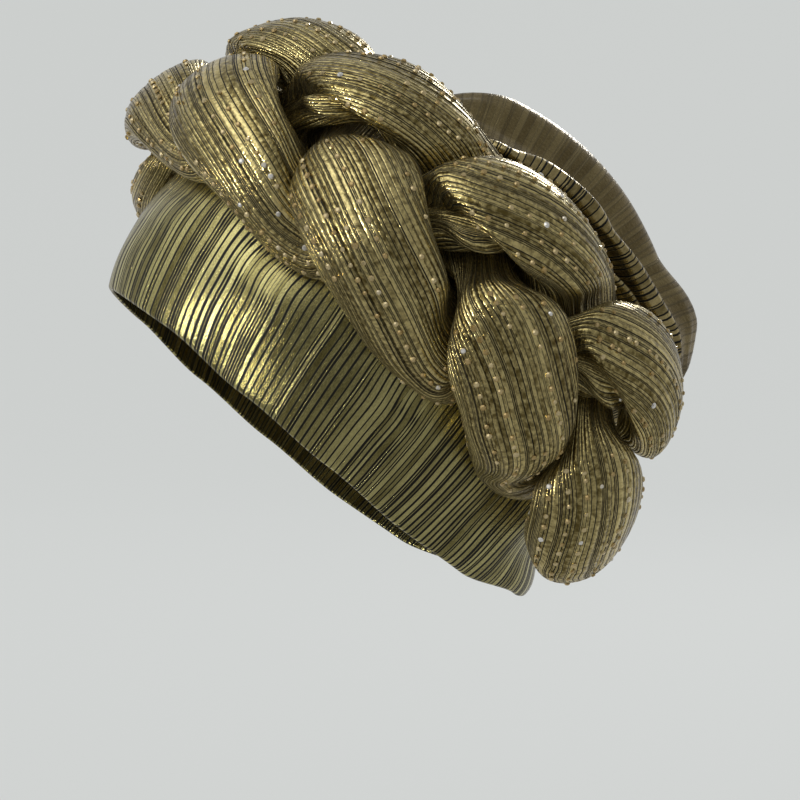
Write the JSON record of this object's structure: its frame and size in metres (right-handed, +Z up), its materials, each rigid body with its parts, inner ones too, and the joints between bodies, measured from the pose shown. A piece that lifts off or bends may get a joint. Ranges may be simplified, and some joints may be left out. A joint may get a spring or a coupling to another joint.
{
  "type": "tied head wrap",
  "caption": "Ready-tied head tie of striped metallic cloth: a wide stretch band, a soft pleated crown and a stuffed braid laid over their join.",
  "frame": {"origin": "centre of the head opening, in the sloping plane of the band's lower edge", "axes": "+Z up as worn, -Y to the wearer's front, +X to the wearer's left"},
  "size_m": [0.2211, 0.2184, 0.2112],
  "materials": {
    "band_cloth": "shiny foil-printed stretch knit, gold with fine black cross lines",
    "crown_cloth": "shiny foil-printed stretch knit, gold with fine black lines across the folds",
    "strand_cloth": "foil-printed pleated knit, gold with black lines along the strand, dotted with small stones"
  },
  "bodies": {
    "root": {"headband": "band_cloth", "crown_bag": "crown_cloth", "braid_strand_a": "strand_cloth", "braid_strand_b": "strand_cloth", "braid_strand_c": "strand_cloth"}
  },
  "joints": []
}
